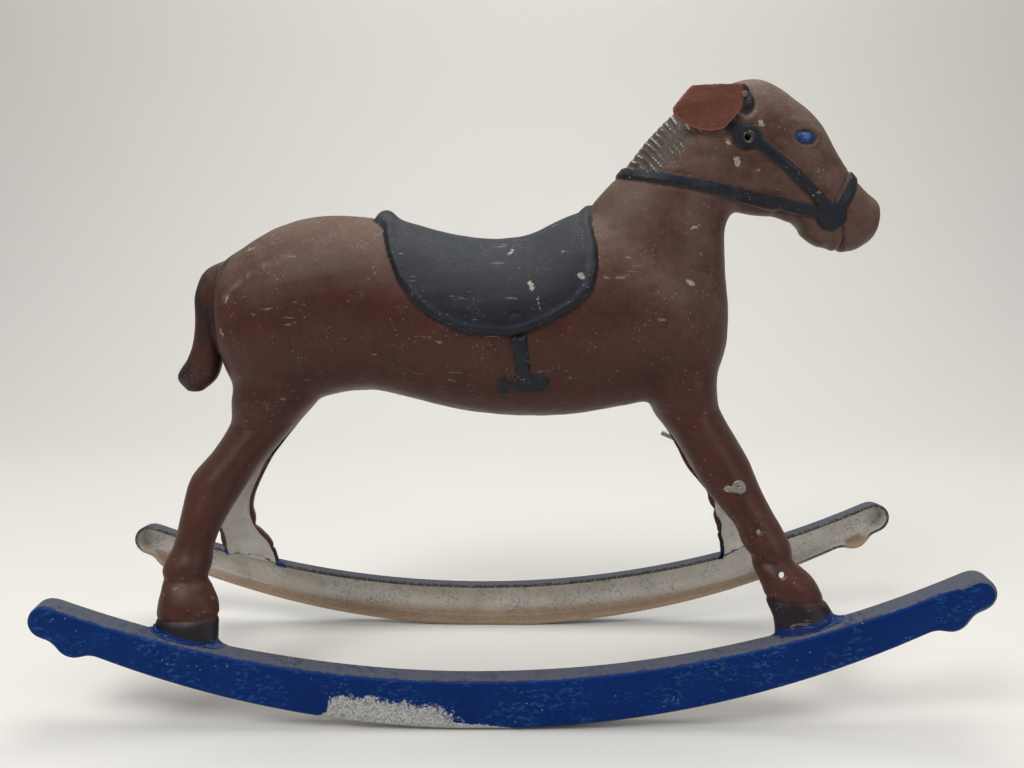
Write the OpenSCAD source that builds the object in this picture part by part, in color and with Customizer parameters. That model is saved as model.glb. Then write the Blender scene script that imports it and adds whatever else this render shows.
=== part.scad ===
// Child's rocking horse: two hollow cast half bodies on two channel rockers.
// The horse is laid out level, x towards the head, the centre seam at y = 0,
// and the whole of it then leans back to where it balances on its rockers.

/* [Rockers] */
// Length of each rocker over its rounded tips
rocker_len = 910; // [880:5:940]
// Radius of the curved underside
rock_r = 950; // [900:10:1000]
// Radius of the curved top edge
top_r = 1110; // [1080:10:1140]
// Depth of a rocker at its middle
rocker_h = 52; // [48:1:56]
// Width over both rockers
base_w = 250; // [246:1:256]
// Width of the flange round each rocker's edge
flange_w = 20; // [18:1:24]
// Radius of the fillets where the tips run into the underside
notch_r = 12; // [8:1:14]

/* [Castings] */
// Wall thickness of the legs and the rockers
wall = 4; // [3.5:0.5:4.5]
// Wall thickness of the rump, whose weight holds the horse back at rest
rump_wall = 6.5; // [6:0.1:7]
// Wall thickness of the neck and head
neck_wall = 3.5; // [3:0.1:4]
// Half the gap between a pair of hooves, measured to the legs' open edges
splay = 104; // [100:1:106]
// Height at which the legs leave the belly and start to splay
splay_top = 285; // [280:1:290]
// Height at which the splay is complete
splay_low = 95; // [90:1:98]
// Radius of the bosses that take the screws
boss_r = 7; // [6:0.5:8]

/* [Stance] */
// Depth worn flat on the undersides where the horse rests
wear = 0.4; // [0.3:0.1:0.6]
// Angle by which the horse leans back at rest
lean = 1.8; // [1.4:0.1:2.2]

/* [Handle tube] */
// Position of the handle tube along the head
handle_x = 241; // [238:1:244]
// Height of the handle tube
handle_z = 553; // [550:1:556]
// Radius of the bore that a handle bar slides through
handle_r = 3.3; // [3:0.1:3.6]
// Outer radius of the tube
tube_r = 4.8; // [4.5:0.1:5.2]
// Radius of the rolled collar at each end of the tube
collar_r = 6.5; // [6:0.1:7.5]
// Half the width of the head at the tube's seats
handle_y = 31; // [30:0.5:32]

/* [Foot rod] */
// Radius of the threaded rod that crosses the forelegs
rod_r = 3; // [2.8:0.1:3.2]
// Clearance of the holes in the forelegs
rod_gap = 0.1; // [0.05:0.05:0.2]
// Angle by which the right end is bent back
bend_right = 45; // [30:1:50]
// Angle by which the left end is bent back
bend_left = 72; // [65:1:76]

/* [Ears] */
// Thickness of the leather
ear_t = 2.5; // [2:0.1:3]
// Distance of the leather from the centre seam
ear_y = 34.4; // [34.3:0.1:36]
// Radius of the tack's shank
tack_r = 1.5; // [1.4:0.1:1.7]
// How far the left ear hangs below the right one, in degrees
ear_droop = 12; // [0:1:15]

/* [Hidden] */

body_brown = [0.33, 0.2, 0.17];
rocker_blue = [0.03, 0.14, 0.38];
bare_metal = [0.62, 0.61, 0.58];
leather_brown = [0.36, 0.19, 0.15];
fine = 32;

// Rounded tips of the rockers: the nose circle and the heel circle behind it
nose_r = 18;
nose_x = rocker_len / 2 - nose_r;
nose_z = 122;
heel_r = 20;
heel_x = rocker_len / 2 - 43;
heel_z = 104;
band_x = rocker_len / 2 - 22;
arc_steps = 24;
wear_w = 100;
wear_h = 5;

// Distance by which the leaning horse moves back to stand centred over its frame
shift_x = (rock_r - nose_z) * sin(lean);

// Stations of the body, each [rear or lower x, z, front or upper x, z, half width].
// A section bulges from the seam between its two edge points.
TORSO = [
    [-292, 372, -292, 428, 14], [-282, 330, -282, 450, 36], [-262, 304, -262, 463, 50],
    [-232, 300, -232, 480, 61], [-200, 306, -200, 491, 67], [-168, 313, -168, 494, 69],
    [-130, 313, -130, 489, 69], [-90, 303, -90, 479, 71], [-50, 292, -50, 468, 74],
    [-10, 285, -10, 462, 76], [30, 282, 30, 465, 76], [70, 283, 70, 481, 73],
    [110, 288, 110, 490, 67], [150, 294, 150, 480, 60], [186, 298, 186, 460, 51],
    [212, 308, 212, 432, 38], [230, 345, 230, 398, 16]];
NECK = [
    [226, 340, 66, 462, 56], [231, 384, 92, 495, 52], [227, 430, 121, 524, 45],
    [227, 468, 154, 562, 37], [238, 486, 184, 588, 33], [258, 496, 204, 600, 28]];
HEAD = [
    [226, 500, 208, 596, 24], [240, 483, 234, 610, 33], [262, 479, 264, 610, 38],
    [276, 477, 300, 587, 38], [293, 469, 320, 568, 33], [305, 460, 334, 545, 28],
    [320, 449, 354, 515, 25], [341, 442, 368, 500, 24], [357, 442, 380, 489, 21],
    [370, 450, 383, 476, 13]];
TAIL = [
    [-284, 452, -262, 426, 13], [-303, 440, -276, 420, 16], [-313, 418, -286, 408, 17],
    [-316, 394, -290, 390, 17], [-320, 371, -291, 368, 16], [-328, 353, -293, 347, 15],
    [-339, 333, -302, 330, 13], [-332, 320, -318, 318, 7]];
HIND_LEG = [
    [-274, 352, -176, 352, 46], [-283, 312, -191, 312, 50], [-286, 286, -214, 286, 45],
    [-303, 258, -240, 258, 40], [-322, 236, -259, 236, 36], [-328, 212, -275, 212, 31],
    [-331, 190, -288, 190, 26], [-335, 171, -295, 170, 22], [-343, 150, -296, 151, 21],
    [-341, 134, -292, 135, 21], [-344, 114, -284, 116, 18], [-344, 92, -282, 82, 14]];
FORE_LEG = [
    [142, 350, 220, 350, 42], [148, 300, 219, 300, 49], [157, 277, 224, 278, 44],
    [172, 257, 235, 256, 40], [184, 236, 245, 236, 37], [196, 213, 252, 214, 33],
    [211, 193, 260, 194, 30], [225, 175, 269, 175, 26], [231, 160, 274, 160, 23],
    [236, 143, 281, 143, 21], [244, 127, 293, 128, 21.5], [246, 112, 302, 112, 18],
    [251, 96, 309, 98, 15], [252, 74, 316, 80, 14]];

// Holes for the foot rod along each foreleg, each [x, z]
ROD_HOLES = [[225.4, 217.3], [242, 176], [259, 138]];
seam_over = 2.2;
boss_end = 90;
hole_r = rod_r + rod_gap;
pad_r = 8;
pad_cut = 1.5;

// Screws that draw the halves together, each [x, z, height of its head from the seam]
SCREWS = [[-225, 405, 56], [-150, 400, 64], [150, 390, 54], [168, 497, 40], [278, 497, 32]];
screw_r = 2.4;
screw_hole_r = 2.45;
screw_head_r = 4.5;
screw_reach = 16;

// Leather ear, as an outline round its tack
tack_x = 236;
tack_z = 592;
EAR = [[241, 597], [236, 601.5], [210, 602], [186, 601.5], [176, 591], [167, 580], [170, 574],
    [179, 567], [191, 561.5], [204, 559], [217, 561], [228.5, 573], [238, 584]];

washer_t = 1.5;
washer_r = 6.8;
nut_t = 5;
nut_r = 5.77;

function splay_at(z) = splay * min(1, max(0, (splay_top - z) / (splay_top - splay_low)));
function low_z(x) = rock_r - sqrt(rock_r * rock_r - x * x);
function top_z(x) = rocker_h + top_r - sqrt(top_r * top_r - x * x);

// One section between a station's two edge points, bulging towards -y
function section(s, n, spread) = [
    for (i = [0:n])
        let (a = -90 + 180 * i / n, m = (1 + sin(a)) / 2)
        let (x = s[0] + (s[2] - s[0]) * m, z = s[1] + (s[3] - s[1]) * m)
        [x, -(i == 0 || i == n ? 0 : s[4] * cos(a)) - (spread ? splay_at(z) : 0), z]];

// A station drawn in by t on every side
function inset(s, t) =
    let (d = norm([s[2] - s[0], s[3] - s[1]]), ux = (s[2] - s[0]) / d, uz = (s[3] - s[1]) / d)
    [s[0] + ux * t, s[1] + uz * t, s[2] - ux * t, s[3] - uz * t, s[4] - t + seam_over];

// Wall thickness of the body at x
function wall_at(x) = lookup(x, [[-150, rump_wall], [50, wall], [200, neck_wall]]);

// The inside of the body between two of its stations
function body_cavity(stations, first, last) = [
    for (i = [first:last]) inset(stations[i], wall_at((stations[i][0] + stations[i][2]) / 2))];

function leg_cavity(stations) = [for (s = stations) inset(s, wall)];

// Closed solid through a list of stations
module loft(stations, n = 14, spread = false) {
    m = n + 1;
    k = len(stations);
    points = [for (s = stations) each section(s, n, spread)];
    sides = [for (j = [0:k - 2]) for (i = [0:n]) let (i2 = (i + 1) % m) each [
        [j * m + i, (j + 1) * m + i2, (j + 1) * m + i],
        [j * m + i, j * m + i2, (j + 1) * m + i2]]];
    caps = [[for (i = [n:-1:0]) i], [for (i = [0:n]) (k - 1) * m + i]];
    polyhedron(points, concat(sides, caps), 10);
}

// Places what is laid out level where it stands at rest
module stand() {
    translate([-shift_x, 0, rock_r - wear]) rotate([0, -lean, 0]) translate([0, 0, -rock_r])
        children();
}

// An x-z outline made into a plate from y_in outwards by t towards -y
module plate(y_in, t) {
    translate([0, y_in, 0]) rotate([90, 0, 0]) linear_extrude(t) children();
}

// A cylinder along y from y0 to y1 at x, z
module along_y(x, z, y0, y1, r) {
    translate([x, min(y0, y1), z]) rotate([-90, 0, 0]) cylinder(h = abs(y1 - y0), r = r, $fn = fine);
}

module rocker_outline() {
    difference() {
        offset(r = -notch_r, $fn = fine) offset(r = notch_r, $fn = fine) {
            polygon(concat(
                [for (i = [-arc_steps:arc_steps]) let (x = band_x * i / arc_steps) [x, low_z(x)]],
                [for (i = [arc_steps:-1:-arc_steps]) let (x = band_x * i / arc_steps) [x, top_z(x)]]));
            for (side = [-1, 1]) {
                translate([side * nose_x, nose_z]) circle(r = nose_r, $fn = fine);
                translate([side * heel_x, heel_z]) circle(r = heel_r, $fn = fine);
            }
        }
        translate([0, rock_r]) rotate(-lean) translate([-wear_w / 2, wear - rock_r - wear_h])
            square([wear_w, wear_h]);
    }
}

module half_outside() {
    loft(TORSO, 18);
    loft(NECK, 16);
    loft(HEAD, 16);
    loft(TAIL, 10);
    loft(HIND_LEG, 12, true);
    loft(FORE_LEG, 12, true);
}

module half_inside() {
    loft(body_cavity(TORSO, 1, len(TORSO) - 2), 18);
    loft(body_cavity(NECK, 0, len(NECK) - 1), 16);
    loft(body_cavity(HEAD, 1, len(HEAD) - 2), 16);
    loft(body_cavity(TAIL, 1, len(TAIL) - 2), 10);
    loft(leg_cavity(HIND_LEG), 12, true);
    loft(leg_cavity(FORE_LEG), 12, true);
}

// Bosses inside the half casting for the screws and the tube, and pads for rod and tack
module half_bosses() {
    intersection() {
        union() {
            for (s = SCREWS) along_y(s[0], s[1], 0, -boss_end, boss_r);
            along_y(handle_x, handle_z, 0, -boss_end, boss_r + 1);
        }
        half_outside();
    }
    for (h = ROD_HOLES) along_y(h[0], h[1], -rod_pad(h) + wall * 2, -rod_pad(h) + wall / 2, pad_r);
    along_y(tack_x, tack_z, -12, -ear_y + 0.4, boss_r);
}

// Distance of a foreleg hole's outer pad from the seam
function leg_depth(z) = lookup(z, [for (i = [len(FORE_LEG) - 1:-1:0]) [FORE_LEG[i][1], FORE_LEG[i][4]]]);
function rod_pad(h) = splay_at(h[1]) + leg_depth(h[1]) - pad_cut;

module half_solid() {
    minkowski() {
        difference() {
            union() {
                difference() {
                    half_outside();
                    translate([0, seam_over, 0]) half_inside();
                }
                half_bosses();
            }
            plate(10, 200) rocker_outline();
            for (h = ROD_HOLES) along_y(h[0], h[1], -rod_pad(h), -rod_pad(h) - 20, pad_r);
            along_y(handle_x, handle_z, -handle_y, -handle_y - 20, collar_r + 0.5);
        }
    }
}

module half_holes() {
    for (h = ROD_HOLES) along_y(h[0], h[1], 10, -150, hole_r);
    along_y(handle_x, handle_z, 10, -60, tube_r);
    along_y(tack_x, tack_z, -ear_y - 5, -ear_y + 12, tack_r);
}

module right_shell() {
    color(body_brown) stand() difference() {
        half_solid();
        half_holes();
        for (s = SCREWS) along_y(s[0], s[1], 10, -screw_reach - 1, screw_hole_r);
    }
}

module left_shell() {
    color(body_brown) stand() mirror([0, 1, 0]) difference() {
        half_solid();
        half_holes();
        for (s = SCREWS) {
            along_y(s[0], s[1], 10, -100, screw_hole_r);
            along_y(s[0], s[1], -s[2], -s[2] - 30, screw_head_r + 1);
        }
    }
}

// Channel rocker, open towards the seam, with its top flange cut away inside each hoof
module rocker() {
    outer_y = -base_w / 2;
    difference() {
        plate(outer_y + flange_w, flange_w) rocker_outline();
        plate(outer_y + flange_w + 1, flange_w + 1 - wall) offset(delta = -wall) rocker_outline();
        for (cut = [[-335, -295, 70], [260, 298, 62]])
            translate([cut[0], outer_y + 11, cut[2]]) cube([cut[1] - cut[0], flange_w, 50]);
    }
}

module right_rocker() {
    color(rocker_blue) stand() rocker();
}

module left_rocker() {
    color(rocker_blue) stand() mirror([0, 1, 0]) rocker();
}

// Beads that join each hoof to its rocker
module hoof_welds() {
    bead = 3;
    height = 5;
    minkowski() {
        difference() {
            intersection() {
                union() {
                    loft(thicken(HIND_LEG, bead), 12, true);
                    loft(thicken(FORE_LEG, bead), 12, true);
                }
                plate(-splay + 1, 40) translate([0, height]) rocker_outline();
            }
            loft(HIND_LEG, 12, true);
            loft(FORE_LEG, 12, true);
            plate(10, 200) rocker_outline();
        }
    }
}

function thicken(stations, t) = [
    for (s = stations) [s[0] - t, s[1], s[2] + t, s[3], s[4] + t]];

module right_hoof_welds() {
    color(rocker_blue) stand() hoof_welds();
}

module left_hoof_welds() {
    color(rocker_blue) stand() mirror([0, 1, 0]) hoof_welds();
}

module shell_screws() {
    color(bare_metal) stand() for (s = SCREWS) {
        along_y(s[0], s[1], -screw_reach, s[2], screw_r);
        along_y(s[0], s[1], s[2], s[2] + 2.6, screw_head_r);
    }
}

module handle_tube() {
    color(bare_metal) stand() difference() {
        union() {
            along_y(handle_x, handle_z, -handle_y, handle_y, tube_r);
            for (side = [-1, 1])
                along_y(handle_x, handle_z, side * handle_y, side * (handle_y + 1.4), collar_r);
        }
        along_y(handle_x, handle_z, -handle_y - 5, handle_y + 5, handle_r);
    }
}

rod_y = rod_pad(ROD_HOLES[0]);
rod_end_y = rod_y + washer_t + nut_t + 2;
elbow_r = 10;
rod_lift = 23;

// Centre line of one end of the rod, each [x, y, direction]
function bent_end(bend, reach) = concat(
    [for (i = [0:6]) let (a = bend * i / 6) [elbow_r * (cos(a) - 1), rod_end_y + elbow_r * sin(a), a]],
    [[elbow_r * (cos(bend) - 1) - reach * sin(bend),
        rod_end_y + elbow_r * sin(bend) + reach * cos(bend), bend]]);

// Round bar along a centre line
module bar(path, r) {
    m = fine;
    k = len(path);
    points = [for (p = path) for (i = [0:m - 1]) let (a = 360 * i / m)
        [p[0] + r * cos(a) * cos(p[2]), p[1] + r * cos(a) * sin(p[2]), r * sin(a)]];
    sides = [for (j = [0:k - 2]) for (i = [0:m - 1]) let (i2 = (i + 1) % m) each [
        [j * m + i, (j + 1) * m + i2, (j + 1) * m + i],
        [j * m + i, j * m + i2, (j + 1) * m + i2]]];
    caps = [[for (i = [m - 1:-1:0]) i], [for (i = [0:m - 1]) (k - 1) * m + i]];
    polyhedron(points, concat(sides, caps), 10);
}

// Threaded rod across the forelegs, its two ends bent back and a little up
module foot_rod() {
    right_end = bent_end(bend_right, 28);
    path = concat(
        [for (i = [len(right_end) - 1:-1:0]) let (p = right_end[i]) [p[0], -p[1], -p[2]]],
        bent_end(bend_left, 44));
    color(bare_metal) stand() translate([ROD_HOLES[0][0], 0, ROD_HOLES[0][1]]) rotate([0, rod_lift, 0])
        bar(path, rod_r);
}

module rod_washer() {
    x = ROD_HOLES[0][0];
    z = ROD_HOLES[0][1];
    difference() {
        along_y(x, z, -rod_y, -rod_y - washer_t, washer_r);
        along_y(x, z, -rod_y + 1, -rod_y - 5, hole_r);
    }
}

module rod_nut() {
    x = ROD_HOLES[0][0];
    z = ROD_HOLES[0][1];
    y = -rod_y - washer_t;
    difference() {
        translate([x, y, z]) rotate([90, 0, 0]) cylinder(h = nut_t, r = nut_r, $fn = 6);
        along_y(x, z, y + 1, y - nut_t - 1, rod_r);
    }
}

module right_rod_washer() {
    color(bare_metal) stand() rod_washer();
}

module left_rod_washer() {
    color(bare_metal) stand() mirror([0, 1, 0]) rod_washer();
}

module right_rod_nut() {
    color(bare_metal) stand() rod_nut();
}

module left_rod_nut() {
    color(bare_metal) stand() mirror([0, 1, 0]) rod_nut();
}

module ear() {
    difference() {
        plate(-ear_y, ear_t) polygon(EAR);
        along_y(tack_x, tack_z, -ear_y + 5, -ear_y - 10, tack_r + 0.05);
    }
}

module ear_tack() {
    along_y(tack_x, tack_z, -ear_y + 11, -ear_y - ear_t - 0.3, tack_r);
    along_y(tack_x, tack_z, -ear_y - ear_t - 0.3, -ear_y - ear_t - 1.5, 3);
}

module right_ear() {
    color(leather_brown) stand() ear();
}

module left_ear() {
    color(leather_brown) stand() mirror([0, 1, 0]) translate([tack_x, 0, tack_z])
        rotate([0, -ear_droop, 0]) translate([-tack_x, 0, -tack_z]) ear();
}

module right_ear_tack() {
    color(bare_metal) stand() ear_tack();
}

module left_ear_tack() {
    color(bare_metal) stand() mirror([0, 1, 0]) ear_tack();
}

right_shell();
left_shell();
right_rocker();
left_rocker();
right_hoof_welds();
left_hoof_welds();
shell_screws();
handle_tube();
foot_rod();
right_rod_washer();
left_rod_washer();
right_rod_nut();
left_rod_nut();
right_ear();
left_ear();
right_ear_tack();
left_ear_tack();
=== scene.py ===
"""Rocking horse: two half castings with painted tack, on two channel rockers."""

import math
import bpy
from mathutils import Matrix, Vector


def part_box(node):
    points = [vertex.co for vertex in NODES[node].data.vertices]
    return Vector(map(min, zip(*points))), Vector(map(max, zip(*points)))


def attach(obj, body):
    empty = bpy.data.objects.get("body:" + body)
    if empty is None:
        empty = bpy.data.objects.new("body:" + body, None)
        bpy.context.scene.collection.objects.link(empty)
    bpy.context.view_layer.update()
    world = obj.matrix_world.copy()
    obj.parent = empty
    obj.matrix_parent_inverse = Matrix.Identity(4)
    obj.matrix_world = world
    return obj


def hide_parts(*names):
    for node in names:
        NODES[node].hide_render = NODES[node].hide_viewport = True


bl_info = {
    "name": "Rocking Horse",
    "version": (1, 0, 0),
    "blender": (4, 5, 0),
    "location": "3D View > Sidebar > Rocking Horse",
    "description": "Builds a cast metal rocking horse around its fixed frame",
    "category": "Object",
}

import bmesh
import bpy
import numpy as np
from bpy.props import FloatProperty, FloatVectorProperty, IntProperty, PointerProperty
from mathutils import Matrix, Vector
from mathutils.bvhtree import BVHTree

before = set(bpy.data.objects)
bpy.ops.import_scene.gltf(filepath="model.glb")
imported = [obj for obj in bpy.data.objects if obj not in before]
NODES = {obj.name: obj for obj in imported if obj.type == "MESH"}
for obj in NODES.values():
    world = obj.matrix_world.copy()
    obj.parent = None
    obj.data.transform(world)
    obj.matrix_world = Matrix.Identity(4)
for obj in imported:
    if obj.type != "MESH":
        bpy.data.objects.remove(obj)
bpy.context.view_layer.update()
MM = 0.001

# The horse is laid out level, in millimetres, and then leans back on its rockers.
LEAN = math.radians(1.8)
ROCK_R = 950.0
NOSE_Z = 122.0
WEAR = 0.4
SHIFT = (ROCK_R - NOSE_Z) * math.sin(LEAN)
BASE_W = 250.0
TOP_EDGE_Z = 52.0
TOP_EDGE_R = 1110.0
WALL = 4.0
SPLAY = 104.0
SPLAY_TOP = 285.0
SPLAY_LOW = 95.0

# Spacing of points round a rocker's outline, and the coarser of the two mesh sizes, in metres.
OUTLINE_STEP = 0.004
COARSE_MESH = 0.0035

# Stations of the body, each rear or lower x, z, front or upper x, z, and half width.
TORSO = [
    (-292, 372, -292, 428, 16), (-282, 330, -282, 450, 37), (-262, 304, -262, 463, 50),
    (-232, 300, -232, 480, 61), (-200, 306, -200, 490, 67), (-168, 313, -168, 493, 69),
    (-130, 313, -130, 490, 69), (-90, 303, -90, 480, 71), (-50, 292, -50, 468, 74),
    (-10, 285, -10, 462, 76), (30, 282, 30, 465, 76), (70, 283, 70, 482, 73),
    (110, 288, 110, 490, 67), (150, 294, 150, 480, 60), (186, 298, 186, 460, 51),
    (212, 308, 212, 432, 38), (228, 345, 228, 398, 18)]
NECK = [
    (226, 340, 66, 462, 54), (231, 384, 92, 495, 51), (227, 430, 121, 524, 45),
    (227, 468, 154, 562, 37), (238, 486, 184, 588, 33), (258, 496, 204, 600, 29)]
HEAD = [
    (226, 500, 208, 596, 24), (240, 483, 234, 609, 32), (262, 479, 264, 610, 36),
    (276, 477, 300, 587, 37), (293, 469, 320, 568, 33), (305, 460, 334, 545, 28),
    (320, 449, 354, 515, 25), (341, 442, 368, 500, 24), (357, 442, 380, 489, 22),
    (371, 449, 384, 478, 15)]
TAIL = [
    (-284, 452, -262, 426, 13), (-303, 441, -276, 420, 16), (-314, 419, -286, 408, 17),
    (-316, 394, -290, 390, 17), (-320, 371, -291, 368, 16), (-328, 353, -293, 347, 15),
    (-340, 334, -301, 330, 13), (-331, 319, -317, 318, 7)]
HIND_LEG = [
    (-274, 352, -176, 352, 46), (-283, 312, -191, 312, 50), (-286, 286, -214, 286, 45),
    (-303, 258, -240, 258, 40), (-322, 236, -259, 236, 36), (-328, 212, -275, 212, 31),
    (-331, 190, -288, 190, 26), (-335, 171, -295, 170, 22), (-343, 150, -296, 151, 21),
    (-341, 134, -292, 135, 21), (-344, 114, -284, 116, 18), (-344, 92, -282, 82, 14)]
FORE_LEG = [
    (142, 350, 220, 350, 42), (148, 300, 219, 300, 49), (157, 277, 224, 278, 44),
    (172, 257, 235, 256, 40), (184, 236, 245, 236, 37), (196, 213, 252, 214, 33),
    (211, 193, 260, 194, 30), (225, 175, 269, 175, 26), (231, 160, 274, 160, 23),
    (236, 143, 281, 143, 21), (244, 127, 293, 128, 21.5), (246, 112, 302, 112, 18),
    (251, 96, 309, 98, 15), (252, 74, 316, 80, 14)]
PARTS = {"torso": TORSO, "neck": NECK, "head": HEAD, "tail": TAIL, "hind": HIND_LEG, "fore": FORE_LEG}

ROD_HOLES = [(225.4, 217.3), (242, 176), (259, 138)]
HANDLE = (241, 553)
TACK = (236, 592)
SCREWS = [(-225, 405, 56), (-150, 400, 64), (150, 390, 54), (168, 497, 40), (278, 497, 32)]

# Raised and painted details, in the level side view.
SADDLE = [
    (-124, 540), (-124, 487), (-113, 479), (-106, 453), (-97, 429), (-82, 406), (-65, 391),
    (-39, 378), (-19, 375), (6, 373), (24, 377), (48, 386), (70, 398), (85, 414), (91, 433),
    (91, 454), (88, 476), (92, 494), (92, 540)]
STIRRUP_STRAP = [(13, 384), (19, 333)]
STIRRUP = [(16, 325), (34, 325)]
STIRRUP_BAR = [(-1, 328), (-1.5, 318)]
CHEEK_STRAP = [(246, 551), (325, 483)]
REIN = [(116, 527), (158, 517), (212, 505.5), (262, 492), (318, 479)]
NOSEBAND = [(327, 476), (340, 494), (352, 514)]
HEADSTALL = [(241, 553), (225, 566), (212, 583), (204, 604)]
STIRRUP_LINK = [(-1, 324), (16, 325)]
STRAPS = [
    (CHEEK_STRAP, 4.8), (REIN, 5.0), (NOSEBAND, 5.2), (HEADSTALL, 6.0), (STIRRUP, 8.5),
    (STIRRUP_BAR, 3.8), (STIRRUP_LINK, 2.4)]
EYE = (296, 551)
SOCKET = (239, 587)
BIT = (327, 476)
CREST = [(86, 492), (109, 509), (121, 524), (154, 562), (175, 580), (200, 597)]
TAIL_EDGE = [
    (-262, 470), (-275, 440), (-287, 414), (-290, 392), (-287, 368), (-284, 345), (-292, 325),
    (-345, 300), (-350, 350), (-325, 440), (-300, 460)]
MOUTH = [(339, 464), (341, 452), (340, 438)]
JAW = [(277, 482), (290, 474), (299, 463)]
CHIN = [(306, 457), (320, 449)]
BROW = [(283, 566), (298, 565), (309, 556)]
EAR = [
    (241, 597), (236, 601.5), (210, 602), (186, 601.5), (176, 591), (167, 580), (170, 574),
    (179, 567), (191, 561.5), (204, 559), (217, 561), (228.5, 573), (238, 584)]
EAR_Y = 34.4
EAR_T = 2.5
EAR_DROOP = math.radians(12)


# Geometry helpers

def to_stand(points):
    """Level millimetres to the frame's metres."""
    p = np.asarray(points, dtype=float)
    c, s = math.cos(LEAN), math.sin(LEAN)
    x = p[:, 0] * c - (p[:, 2] - ROCK_R) * s - SHIFT
    z = p[:, 0] * s + (p[:, 2] - ROCK_R) * c + ROCK_R - WEAR
    return np.stack([x, p[:, 1], z], axis=1) * MM


def stand_matrix():
    """The same placing as to_stand, as a matrix."""
    return (Matrix.Translation(Vector((-SHIFT, 0, ROCK_R - WEAR)) * MM)
            @ Matrix.Rotation(-LEAN, 4, "Y")
            @ Matrix.Translation(Vector((0, 0, -ROCK_R)) * MM)
            @ Matrix.Scale(MM, 4))


def smooth(t):
    t = np.clip(t, 0.0, 1.0)
    return t * t * (3 - 2 * t)


def spline(rows, per_span):
    """Rows of numbers made denser along a smooth curve through them."""
    p = np.asarray(rows, dtype=float)
    q = np.vstack([2 * p[0] - p[1], p, 2 * p[-1] - p[-2]])
    out = []
    for i in range(len(p) - 1):
        a, b, c, d = q[i:i + 4]
        for k in range(per_span):
            t = k / per_span
            out.append(0.5 * (2 * b + (c - a) * t + (2 * a - 5 * b + 4 * c - d) * t * t
                              + (3 * b - a - 3 * c + d) * t ** 3))
    out.append(p[-1])
    return np.array(out)


def segment_distance(points, path):
    """Distance in the side view from each point to a line of segments."""
    best = np.full(len(points), 1e9)
    for a, b in zip(path[:-1], path[1:]):
        a, b = np.array(a, float), np.array(b, float)
        d = b - a
        t = np.clip(((points - a) @ d) / (d @ d), 0, 1)
        best = np.minimum(best, np.linalg.norm(points - a - t[:, None] * d, axis=1))
    return best


def polygon_distance(points, corners):
    """Signed distance in the side view to a closed outline, negative inside."""
    ring = list(corners) + [corners[0]]
    d = segment_distance(points, ring)
    inside = np.zeros(len(points), bool)
    for (ax, az), (bx, bz) in zip(ring[:-1], ring[1:]):
        if az != bz:
            cross = (az > points[:, 1]) != (bz > points[:, 1])
            inside ^= cross & (points[:, 0] < (bx - ax) * (points[:, 1] - az) / (bz - az) + ax)
    return np.where(inside, -d, d)


def ellipse_distance(points, centre, rx, rz, turn=0.0):
    p = points - np.array(centre, float)
    c, s = math.cos(turn), math.sin(turn)
    u, v = (p[:, 0] * c + p[:, 1] * s) / rx, (p[:, 1] * c - p[:, 0] * s) / rz
    return (np.hypot(u, v) - 1) * min(rx, rz)


def bumps(points, size, seed):
    """Soft irregularity between -1 and 1 from a few crossing waves."""
    rng = np.random.default_rng(seed)
    total = np.zeros(len(points))
    for _ in range(7):
        k = rng.normal(size=3)
        k *= 2 * math.pi / (size * rng.uniform(0.7, 1.5)) / np.linalg.norm(k)
        total += np.sin(points @ k + rng.uniform(0, 6.28))
    return total / 4


def splay_at(z):
    t = np.clip((SPLAY_TOP - z) / (SPLAY_TOP - SPLAY_LOW), 0, 1)
    return SPLAY * t


def leg_share(x):
    return np.maximum(smooth((-170 - x) / 25), smooth((x - 125) / 25))


def new_object(name, vertices, faces, materials=()):
    mesh = bpy.data.meshes.new(name)
    mesh.from_pydata([tuple(v) for v in vertices], [], [tuple(f) for f in faces])
    mesh.validate()
    mesh.update()
    obj = bpy.data.objects.new(name, mesh)
    bpy.context.scene.collection.objects.link(obj)
    for material in materials:
        mesh.materials.append(material)
    return obj


def apply_modifiers(obj):
    graph = bpy.context.evaluated_depsgraph_get()
    mesh = bpy.data.meshes.new_from_object(obj.evaluated_get(graph))
    old = obj.data
    obj.modifiers.clear()
    obj.data = mesh
    bpy.data.meshes.remove(old)
    if not mesh.polygons:
        raise RuntimeError(f"{obj.name} came out empty")


def combine(target, tool):
    """Cuts a closed mesh with another, and removes the tool."""
    modifier = target.modifiers.new("combine", "BOOLEAN")
    modifier.solver = "MANIFOLD"
    modifier.operation = "DIFFERENCE"
    modifier.object = tool
    apply_modifiers(target)
    mesh = tool.data
    bpy.data.objects.remove(tool)
    bpy.data.meshes.remove(mesh)


def remesh(obj, size):
    modifier = obj.modifiers.new("remesh", "REMESH")
    modifier.mode = "VOXEL"
    modifier.voxel_size = size
    apply_modifiers(obj)


def coords(mesh):
    p = np.empty(len(mesh.vertices) * 3)
    mesh.vertices.foreach_get("co", p)
    return p.reshape(-1, 3)


def set_coords(mesh, points):
    mesh.vertices.foreach_set("co", np.asarray(points, dtype=np.float64).ravel())
    mesh.update()


def normals(mesh):
    n = np.empty(len(mesh.vertices) * 3)
    mesh.vertices.foreach_get("normal", n)
    return n.reshape(-1, 3)


def edge_pairs(mesh):
    e = np.empty(len(mesh.edges) * 2, dtype=np.int64)
    mesh.edges.foreach_get("vertices", e)
    return e.reshape(-1, 2)


def neighbour_mean(points, pairs):
    n = len(points)
    count = np.maximum(np.bincount(pairs.ravel(), minlength=n), 1)
    total = np.stack([np.bincount(pairs[:, 0], points[pairs[:, 1], k], n)
                      + np.bincount(pairs[:, 1], points[pairs[:, 0], k], n) for k in range(3)], 1)
    return total / count[:, None]


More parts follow.
